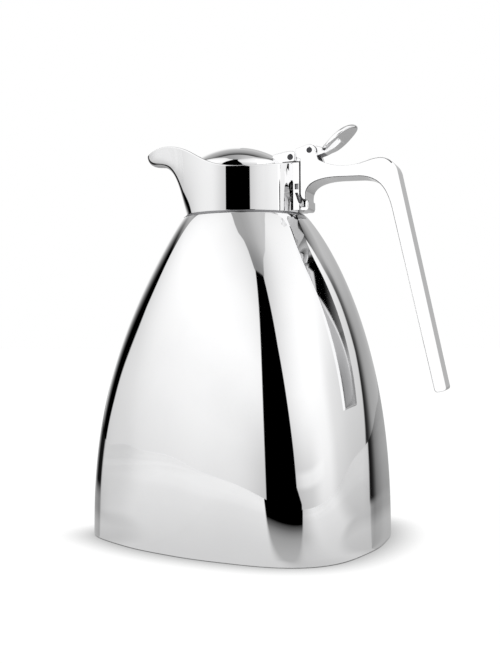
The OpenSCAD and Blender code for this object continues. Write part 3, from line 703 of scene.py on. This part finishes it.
def collar_point(row, angle):
    narrow, wide, radius, outer = collar_rows[row]
    side = 180 - abs(degrees(angle))
    tip = exp(-(side / NOSE_SPREAD) ** 2)                 # 1 at the spout's nose
    reach, rise = [w + (n - w) * tip for n, w in zip(narrow, wide)]
    top = rim_height(side)
    below = top * (1 - rise / TIP_HIGH)
    half = COLLAR_WALL / 2                       # the rim is rounded over the wall's thickness
    if below < half:
        radius -= outer * (half - sqrt(half ** 2 - (half - below) ** 2))
    share = exp(-(side / 24) ** 1.7)
    radius += share * (reach - radius)
    return radius * cos(angle), radius * sin(angle), SEAM + top * rise / TIP_HIGH


finished(sleeve(len(collar_rows), AROUND_COLLAR, collar_point), "collar", polished_steel, "pot",
         ["collar_spout"])

# %% [markdown]
# ## The neck ring
#
# A thin pressed ring joins shell, flask and collar. Only its edge shows, as the fine dark line
# of the seam, so its edge gets a small radius.

# %% Neck ring
FLASK_NECK, RING_FLANGE = 26, 28.3         # radius of the flask's neck, and inside the flange
ring_low = mean_radius(shell_top)
ring_edge = arc((SHOULDER_RADIUS - 0.35, SEAM - 0.4), 0.4, 25, 90, 5)
finished(
    turned([(FLASK_NECK + 0.05, SEAM - 1), (FLASK_NECK + 0.05, SEAM)] + ring_edge[::-1]
           + [(ring_low, shell_top), (ring_low - SHELL_WALL - 0.4, shell_top),
              (RING_FLANGE + 1.4, shell_top - 3), (RING_FLANGE, shell_top - 3),
              (RING_FLANGE, shell_top)], 144),
    "seam_ring", joint_and_shade_steel, "pot", ["neck_ring"])

# %% [markdown]
# ## The lid's dome
#
# A shallow dish turned upside down: a crown with one long radius, a tight rounded edge and a
# short skirt. It is spun from its outline. Both faces of the sheet are drawn, because the
# skirt's thickness is seen when the lid swings up.

# %% Dome
LID_SHIFT = -3.6                  # the dome sits this far towards the spout
LID_RADIUS = COLLAR_BORE - 3.6
DOME_TOP, DOME_CURVE, DOME_EDGE, DOME_WALL = SEAM + 35.3, 40.3, 4.5, 0.8
SKIRT = SEAM + 22.2
CORE_TOP = SEAM + 24


def dome_side(inset, foot):
    """Half of the dome's outline from its crown down to foot, taken in by inset."""
    middle, edge_x, far = DOME_TOP - DOME_CURVE, LID_RADIUS - DOME_EDGE, DOME_CURVE - DOME_EDGE
    climb = sqrt(far * far - edge_x * edge_x)
    turn = degrees(atan2(climb, edge_x))
    return (arc((0, middle), DOME_CURVE - inset, 90, turn, 40)
            + arc((edge_x, middle + climb), DOME_EDGE - inset, turn, 0, 20)[1:]
            + [(LID_RADIUS - inset, foot)])


skirt_edge = [(LID_RADIUS - DOME_WALL / 2 + x, SKIRT + 0.4 - z)
              for x, z in arc((0, 0), DOME_WALL / 2, 0, 180, 8)[1:-1]]
dome = turned(dome_side(0, SKIRT + 0.4) + skirt_edge + dome_side(DOME_WALL, SKIRT + 0.4)[::-1], 192,
              (LID_SHIFT, 0), closed=False)
boss = turned([(0, CORE_TOP + 6), (2.05, CORE_TOP + 6), (2.05, CORE_TOP), (4, CORE_TOP), (4, DOME_TOP - 1.6),
               (0, DOME_TOP - 1.1)], 48, closed=False)


def joined(*shapes):
    """Puts shapes that only touch into one mesh."""
    mesh = bpy.data.meshes.new("joining")
    whole = bmesh.new()
    for bm in shapes:
        bm.to_mesh(mesh)
        whole.from_mesh(mesh)
        bm.free()
    bpy.data.meshes.remove(mesh)
    return whole


finished(joined(dome, boss), "dome", polished_steel, "lid", ["lid_dome"])

# %% [markdown]
# ## The lid's arm
#
# A small block is riveted through the dome's edge, and its fork takes the nose of the lever.
# It is sawn from its side outline, forked, bored for the pin, rounded, and only then cut to
# the dome, so that the seam with the dome stays crisp.

# %% Lid arm
ROOT = COLLAR_RADIUS + 1.2               # the bracket's back, on which the handle stands
HINGE = (ROOT + 5.2, SEAM + 31.5)
LINK = (HINGE[0] - 10.4, SEAM + 28.6)
LINK_PIN, HINGE_PIN = 1.3, 1.5
ARM_HALF, NOSE_HALF = 8, 4.6


def from_root(x, h):
    """A point by its distances behind the bracket's back and above the seam."""
    return ROOT + x, SEAM + h


arm_foot = LID_RADIUS + LID_SHIFT
arm_outline = ([(arm_foot - 6.4, SEAM + 24), (arm_foot - 4.9, SEAM + 29.2), (arm_foot - 4.5, SEAM + 29.8),
                (arm_foot - 3.9, SEAM + 30.15), (LINK[0] - 2.5, LINK[1] + 2.9)]
               + arc((LINK[0] + 0.9, LINK[1] + 1.5), 1.6, 90, 0, 8)
               + arc((LINK[0] + 0.9, LINK[1] - 0.9), 1.6, 0, -90, 8)
               + [(arm_foot + 0.6, LINK[1] - 2.8), (arm_foot + 0.6, SEAM + 24)])
arm = carved(slab(arm_outline, -ARM_HALF, ARM_HALF),
             [block((LINK[0] - 3.4, -NOSE_HALF - 0.3, SEAM + 10), (LINK[0] + 20, NOSE_HALF + 0.3, SEAM + 50)),
              cross_rod(LINK, LINK_PIN + 0.01)])
rounded(arm, 0.45, 3, 40)
lid_body = turned([(0, DOME_TOP - 20)] + dome_side(-0.02, DOME_TOP - 20)[::-1], 192, (LID_SHIFT, 0),
                  closed=False)
finished(carved(arm, [lid_body]), "lid_arm", cast_steel, "lid", ["lid_arm"], weighted=True)

# %% [markdown]
# ## The bracket on the collar
#
# The handle is taken off for plating and polishing, so it isn't welded to the collar but
# screwed to a bracket that is. The bracket is a plate hollowed to the collar's curve, with a
# lug below whose groove holds the handle's toe, and a tenon that enters the handle's root. Each
# side has a small square pocket for the welding jig and a slanted slot below it. The pockets
# and slots get a dark steel as painted shade, so they look dark.

# %% Bracket
BRACKET_HALF, LUG_HALF, TENON_HALF = 10.5, 8, 4
BRACKET_LOW, BRACKET_HIGH = SEAM + 1.2, SEAM + 25.4
LUG_TOP, LUG_OUT = SEAM + 6.2, ROOT + 4.4
SCREW_X = ROOT + 2.8

bracket = block((ROOT - 8, -BRACKET_HALF, BRACKET_LOW), (ROOT, BRACKET_HALF, BRACKET_HIGH))
lug = slab([(ROOT - 2, BRACKET_LOW), (LUG_OUT - 1.2, BRACKET_LOW), (LUG_OUT - 0.4, BRACKET_LOW + 0.5),
            (LUG_OUT, BRACKET_LOW + 1.6), (LUG_OUT, LUG_TOP), (ROOT + 2.7, LUG_TOP), from_root(2.7, 2.8),
            from_root(0, 2.8), from_root(-2, 2.8)], -LUG_HALF, LUG_HALF)
tenon = block((ROOT - 1, -TENON_HALF, SEAM + 17), (ROOT + 5.4, TENON_HALF, SEAM + 22.4))
bracket = carved(bracket, [lug, tenon], "UNION")
SCREW_HOLE, SCREW_HEAD = 1.55, 2.85        # radii
POCKET_MIDDLE, POCKET_HALF, SLOT_HALF = 10.2, 1.7, 2.7


def screw_bore(radius, low):
    return rod(radius, (SCREW_X, 0, low), (SCREW_X, 0, SEAM + 40))


sides = (-POCKET_MIDDLE, POCKET_MIDDLE)
pockets = [block((ROOT - 2.3, y - POCKET_HALF, SEAM + 11.7), (ROOT - 0.4, y + POCKET_HALF, SEAM + 14.6))
           for y in sides]
slot_outline = [from_root(-2.2, 10), from_root(-0.8, 10), from_root(1.6, 4.2), from_root(-0.4, 4.9)]
slots = [slab(slot_outline, y - SLOT_HALF, y + SLOT_HALF) for y in sides]
bracket = carved(bracket, pockets + slots + [screw_bore(SCREW_HOLE, SEAM + 17.6)])
rounded(bracket, 0.3, 3, 40, where=lambda e: max(v.co.x for v in e.verts) > ROOT - 6)
bracket = carved(bracket, [rod(COLLAR_RADIUS + 0.02, (0, 0, SEAM - 10), (0, 0, SEAM + 60), 360)])


# Painted shade: the faces in the pockets and slots get the dark steel.
def in_recess(p):
    return p.x < ROOT + 1.5 and SEAM + 4 < p.z < SEAM + 15 and LUG_HALF - 0.6 < abs(p.y) < BRACKET_HALF - 0.05


finished(bracket, "bracket", polished_steel, "pot", ["handle_bracket"], weighted=True,
         painted_shade_at=in_recess)

# %% [markdown]
# ## The handle
#
# One investment casting holds the hinge cheeks, the arm and the grip. Its faces are lapped flat
# and its edges are eased by hand, which is why a dark line runs along them. A swept section
# could make it, but a slab cut to the side outline keeps the flat faces truly flat. A thin
# silicone gasket lies behind the root.

# %% Handle
HANDLE_HALF, CHEEK_GAP_HALF = 10, 6
CHEEK_FLOOR = SEAM + 25.4
ARM_REACH, ARM_TOP, ARM_UNDER, HUMP, BEND = 50.2, 23, 17.3, 26.4, 9
GRIP_LEAN, GRIP_LENGTH, GRIP_THICK, TIP = radians(12.2), 111.8, 6.4, 1.6
EASED = 0.4                              # radius of the handle's edges
JOINT = 0.55                             # thickness of the gasket behind the root
TOE = 1.8                                # how far the toe reaches into the lug's groove


def plus(point, *steps):
    """A point moved by steps, each a (direction, length) pair."""
    for way, far in steps:
        point = (point[0] + way[0] * far, point[1] + way[1] * far)
    return point


def sweep(a, b, c, d, steps):
    return [cubic(a, b, c, d, i / steps) for i in range(1, steps + 1)]


down_grip = (sin(GRIP_LEAN), -cos(GRIP_LEAN))
out_grip = (cos(GRIP_LEAN), sin(GRIP_LEAN))
bend = from_root(ARM_REACH - BEND, HUMP - BEND)
grip_top = plus(bend, (out_grip, BEND))
grip_tip = plus(grip_top, (down_grip, GRIP_LENGTH))
under_top = plus(grip_top, (down_grip, 20), (out_grip, -GRIP_THICK * 1.06))
tip_out = plus(grip_tip, (out_grip, -TIP), (down_grip, -TIP))
tip_in = plus(grip_tip, (out_grip, TIP - GRIP_THICK * 0.94), (down_grip, -TIP))
lean = degrees(GRIP_LEAN)
handle_outline = (
    [from_root(JOINT, 9.6), from_root(JOINT, 25.4), from_root(JOINT, 27.2), from_root(-1.6, 27.9),
     from_root(-1.8, 32.4)]
    + arc(HINGE, 3, 105, -12, 20) + [from_root(9.6, 26.6)]
    + sweep(from_root(9.6, 26.6), from_root(12.3, 24.9), from_root(16.8, ARM_TOP),
            from_root(23.3, ARM_TOP), 16)
    + sweep(from_root(23.3, ARM_TOP), from_root(31.8, ARM_TOP), plus(bend, ((-6, BEND), 1)),
            plus(bend, ((0, BEND), 1)), 16)
    + arc(bend, BEND, 82, lean, 18)
    + arc(tip_out, TIP, lean, lean - 90, 8) + arc(tip_in, TIP, lean - 90, lean - 180, 8) + [under_top]
    + sweep(under_top, plus(under_top, (down_grip, -12)), from_root(ARM_REACH - 9, ARM_UNDER + 0.2),
            from_root(ARM_REACH - 21.4, ARM_UNDER), 22)
    + [from_root(20.8, ARM_UNDER)]
    + sweep(from_root(20.8, ARM_UNDER), from_root(6.8, ARM_UNDER), from_root(2.4, 13.1),
            from_root(TOE + 1.6, 6.4), 22)
    + sweep(from_root(2.9, 6.4), from_root(1.7, 6.6), from_root(JOINT + 0.1, 7.6),
            from_root(JOINT, 9.6), 6)[:-1])
handle = carved(slab(handle_outline, -HANDLE_HALF, HANDLE_HALF),
                [block((ROOT - 5, -CHEEK_GAP_HALF, CHEEK_FLOOR), (ROOT + 25, CHEEK_GAP_HALF, SEAM + 80))])
rounded(handle, EASED, 5, 35, clamp=False)
toe = block((ROOT + 0.05, -LUG_HALF, SEAM + 3.2), (ROOT + TOE, LUG_HALF, SEAM + 9))
handle = carved(handle, [toe], "UNION")
handle = carved(handle, [
    block((ROOT - 1, -TENON_HALF - 0.05, SEAM + 16.95), (ROOT + 5.45, TENON_HALF + 0.05, SEAM + 22.45)),
    screw_bore(SCREW_HOLE, SEAM + 20), screw_bore(SCREW_HEAD, CHEEK_FLOOR - 1.6),
    cross_rod(HINGE, HINGE_PIN + 0.01)])
# Painted shade: the faces inside the gap between the cheeks get the dark steel.
finished(handle, "handle", cast_steel, "pot", ["handle"], weighted=True,
         painted_shade_at=lambda p: abs(p.y) < CHEEK_GAP_HALF + 0.1 and p.z > CHEEK_FLOOR - 0.1 and p.x < ROOT + 14)

# The gasket's dark silicone also stands in for the shadow in the gap behind the root: painted shade.
gasket_outline = ([from_root(0, 25.2), from_root(0, 9)]
                  + sweep(from_root(0, 9), from_root(0.1, 7), from_root(1.1, 5.9), from_root(2.7, 5.8), 8)
                  + [from_root(2.9, 6.6)]
                  + sweep(from_root(2.9, 6.6), from_root(1.8, 6.8), from_root(JOINT + 0.2, 7.8),
                          from_root(JOINT + 0.1, 9.6), 8)
                  + [from_root(JOINT + 0.02, 25.2)])
gasket = slab(gasket_outline, -HANDLE_HALF + 0.5, HANDLE_HALF - 0.5)
gasket = carved(rounded(gasket, 0.12, 2, 40), [
    block((ROOT - 1, -TENON_HALF - 0.1, SEAM + 16.9), (ROOT + 2, TENON_HALF + 0.1, SEAM + 22.5)),
    block((ROOT - 1, -LUG_HALF - 0.05, SEAM + 1), (ROOT + 5, LUG_HALF + 0.05, SEAM + 9.2))])
finished(gasket, "root_gasket_painted_gap_shadow", silicone, "pot", [])

# %% [markdown]
# ## Cards beside the handle
#
# The flat face of the handle mirrors a single spot of the dark side of the room. A white board
# in front of it turns it white, and a second one does so for the lid's arm. A black card below
# the arm and another above the hump draw the dark lines along the eased edges there. Their
# outlines are the handle's own, moved to where the mirror sees them.

# %% Cards
CARD = -20                               # where the cards stand, on the camera's side
CROWN_CARD = CARD + 0.3                  # the hump's black card, between board and handle
CROWN_DEEP = 12


def mirrored_at(point, card=CARD):
    """Where the camera's ray lands on the card after the handle's flat face has mirrored it."""
    x, z = point
    gap = -HANDLE_HALF - card
    return x - gap * tan(CAMERA_TURN), card, z + gap * (z - CAMERA_HIGH) / (CAMERA_FAR * cos(CAMERA_TURN))


start = handle_outline.index(under_top)
end = next(i for i, (x, z) in enumerate(handle_outline) if i > start and x < ROOT + 3.6)
underside = [mirrored_at((x, z + 0.3)) for x, z in handle_outline[start:end + 1]]
crown = [p for p in handle_outline if p[0] > ROOT + 30 and p[1] > SEAM + 23]
crown_middle = Vector((bend[0] - 10, SEAM + 5))


def pushed_out(point):
    return Vector(point) + (Vector(point) - crown_middle).normalized() * CROWN_DEEP


crown_outline = ([mirrored_at(p, CROWN_CARD) for p in crown]
                 + [mirrored_at(pushed_out(p), CROWN_CARD) for p in crown[::-1]])

BOARD_LEFT, BOARD_RIGHT, BOARD_TOP, BOARD_LOW = ROOT - 10, 116, 224, 70


def on_card(*points):
    return [(x, CARD, z) for x, z in points]


white_outline = (on_card((BOARD_LEFT, BOARD_TOP), (BOARD_RIGHT, BOARD_TOP), (BOARD_RIGHT, BOARD_LOW))
                 + [mirrored_at(plus(tip_in, (down_grip, 10)))] + underside
                 + on_card(from_root(3.6, 5), from_root(3.6, -2), (BOARD_LEFT, SEAM - 2)))
arm_end = ROOT + ARM_REACH - 12
black_outline = ([p for p in underside if p[0] < arm_end]
                 + on_card(from_root(2, -12), from_root(6, -30), (arm_end, SEAM - 30)))
LID_BOARD = (11, SEAM + 23.6, BOARD_LEFT, SEAM + 36.6)
lid_outline = on_card(*oblong(*LID_BOARD))
cards = {"white_board_handle": (white_outline, white_card), "white_board_lid": (lid_outline, white_card),
         "black_card_arm": (black_outline, black_card), "black_card_crown": (crown_outline, black_card)}
for name, (outline, material) in cards.items():
    shown = stage_sheet(name, outline, material, (0, 1, 0))
    shown.visible_camera = shown.visible_diffuse = shown.visible_shadow = shown.visible_transmission = False
print("cards:", len(underside), "points along the handle's underside")

# %% [markdown]
# ## The thumb lever
#
# The thumb presses an oval paddle, the hub turns on the pin and the nose lifts the lid. The
# paddle starts as a thin turned disc with a round rim. It is stretched to an oval and then bent
# along the curve of the lever, which keeps its rim even all the way round.

# %% Thumb lever
HUB, HUB_HALF, NOSE = 3.6, 5.4, 2.4
PADDLE_LONG, PADDLE_WIDE, PADDLE_THICK = 11, 13.5, 2.2
PADDLE_TURN = radians(41)
along = (cos(PADDLE_TURN), sin(PADDLE_TURN))
upward = (-sin(PADDLE_TURN), cos(PADDLE_TURN))
strip = [plus(HINGE, (step, 1)) for step in ((5.6, 0.4), (11, 1.8), (16.2, 10), (24, 13.2))]
paddle_middle = plus(HINGE, ((22.9, 12.4), 1), (along, -PADDLE_LONG))


def in_paddle(point):
    """A point's distances along and above the paddle's middle."""
    x, z = point[0] - paddle_middle[0], point[1] - paddle_middle[1]
    return x * along[0] + z * along[1], x * upward[0] + z * upward[1]


strip_line = [in_paddle(cubic(*strip, i / 60)) for i in range(61)]
first, second = strip_line[0], strip_line[1]
strip_line.insert(0, (first[0] - 4, first[1] - 4 * (second[1] - first[1]) / (second[0] - first[0])))


def strip_height(u):
    for (u0, h0), (u1, h1) in zip(strip_line, strip_line[1:]):
        if u <= u1:
            break
    return h0 + (h1 - h0) * (u - u0) / (u1 - u0)


rim = PADDLE_THICK / 2
DISC = 10
disc_side = ([(DISC * i / 14, rim) for i in range(14)] + arc((DISC, 0), rim, 90, -90, 14)
             + [(DISC * i / 14, -rim) for i in range(13, -1, -1)])
paddle = turned(disc_side, 128, closed=False)
for vert in paddle.verts:
    reach, turn = hypot(vert.co.x, vert.co.y), atan2(vert.co.y, vert.co.x)
    oval = PADDLE_LONG * PADDLE_WIDE / hypot(PADDLE_WIDE * cos(turn), PADDLE_LONG * sin(turn))
    reach = reach * (oval - rim) / DISC if reach < DISC else oval - rim + reach - DISC
    u = reach * cos(turn)
    x, z = plus(paddle_middle, (along, u), (upward, strip_height(u) + vert.co.z))
    vert.co = (x, reach * sin(turn), z)
bmesh.ops.recalc_face_normals(paddle, faces=paddle.faces)

under = [plus(cubic(*strip, i / 20), (upward, -rim - 1.4)) for i in range(6, 11)]
over = [plus(cubic(*strip, i / 20), (upward, rim - 0.3)) for i in range(11, 1, -1)]
stem = slab([plus(HINGE, ((0, HUB - 0.1), 1)), plus(HINGE, ((1, 0.4 - HUB), 1)), plus(HINGE, ((7, -1.2), 1))]
            + under + over, -NOSE_HALF, NOSE_HALF)
rounded(stem, 0.4, 3, 40)
nose = slab([(LINK[0], LINK[1] - NOSE), (HINGE[0], HINGE[1] - HUB), (HINGE[0], HINGE[1] + HUB),
             (LINK[0], LINK[1] + NOSE)], -NOSE_HALF, NOSE_HALF)
lever = carved(cross_rod(HINGE, HUB, -HUB_HALF, HUB_HALF, 96),
               [cross_rod(LINK, NOSE, -NOSE_HALF, NOSE_HALF, 64), nose], "UNION")
rounded(lever, 0.4, 3, 40)
lever = carved(lever, [stem, paddle], "UNION", flat=0.02)
lever = carved(lever, [cross_rod(HINGE, HINGE_PIN + 0.05),
                       cross_rod(LINK, LINK_PIN + 0.05)], flat=0.02)
# Painted shade: the stem's underside next to the hub gets the dark steel.
finished(lever, "lever", cast_steel, "lever", ["thumb_lever"], weighted=True,
         painted_shade_at=lambda p: 0.5 < p.x - HINGE[0] < 9 and p.z < HINGE[1] - 1.1 and abs(p.y) < NOSE_HALF + 0.1)

# %% [markdown]
# ## The sole
#
# The pot stands on a narrow flat rim that is pressed into the base plate. Inside it the plate
# steps up, so that the cap over the evacuation point stays clear of the table. Seen from below
# this is the largest piece, so it gets rounded steps.

# %% Sole
PLATE, SOLE_RISE, SOLE_RIM, PORT = 0.8, 2.8, 9.4, 1.5
step = 1.3 + SOLE_RIM
below = ([(0, 0, SOLE_RISE), (0.35, 30, SOLE_RISE), (0.7, 20, SOLE_RISE)]
         + [(1, step + 1.2 - x, z) for x, z in arc((0, SOLE_RISE - 1.2), 1.2, 90, 0, 6)]
         + [(1, step - x, z) for x, z in arc((1.2, 1.2), 1.2, 180, 270, 6)]
         + [(1, 1.3 + x, z) for x, z in arc((0.35, 0.35), 0.35, 270, 180, 4)])
above = [(1, 1.3, PLATE), (1, step - PLATE, PLATE), (1, step - PLATE, SOLE_RISE + PLATE),
         (0, 0, SOLE_RISE + PLATE)]
sole_rows = below + above


def sole_point(row, angle):
    part, inset, z = sole_rows[row]
    radius = shell_radius(angle, 0) - inset
    outer = Vector((FOOT_SHIFT + radius * cos(angle), radius * sin(angle), z))
    return Vector((PORT * cos(angle), PORT * sin(angle), z)).lerp(outer, part)


finished(sleeve(len(sole_rows), AROUND_BODY, sole_point), "sole", satin_steel, "pot",
         ["base_plate"])

# %% [markdown]
# ## Pins, plug and flask
#
# The remaining parts keep their machined shapes and only need their finishes: burnished pins,
# satin sheet, moulded black plastic, silicone, pale foam and the sintered getter tablet.

# %% Finishes of the small parts
def dressed(material, *names):
    for name in names:
        for place in nodes[name].material_slots:
            place.material = material
    print(material.name, "on", ", ".join(names))


dressed(dark_pin, "hinge_pin", "link_pin")
dressed(satin_steel, "inner_flask", "flask_bottom", "lid_bottom", "lid_screw", "handle_screw", "arm_rivets")
dressed(black_plastic, "seat_ring", "hinge_washers", "lid_core")
dressed(silicone, "seal_cap", "neck_gasket", "lid_seal")
dressed(foam, "lid_insulation")
dressed(getter_grain, "getter")
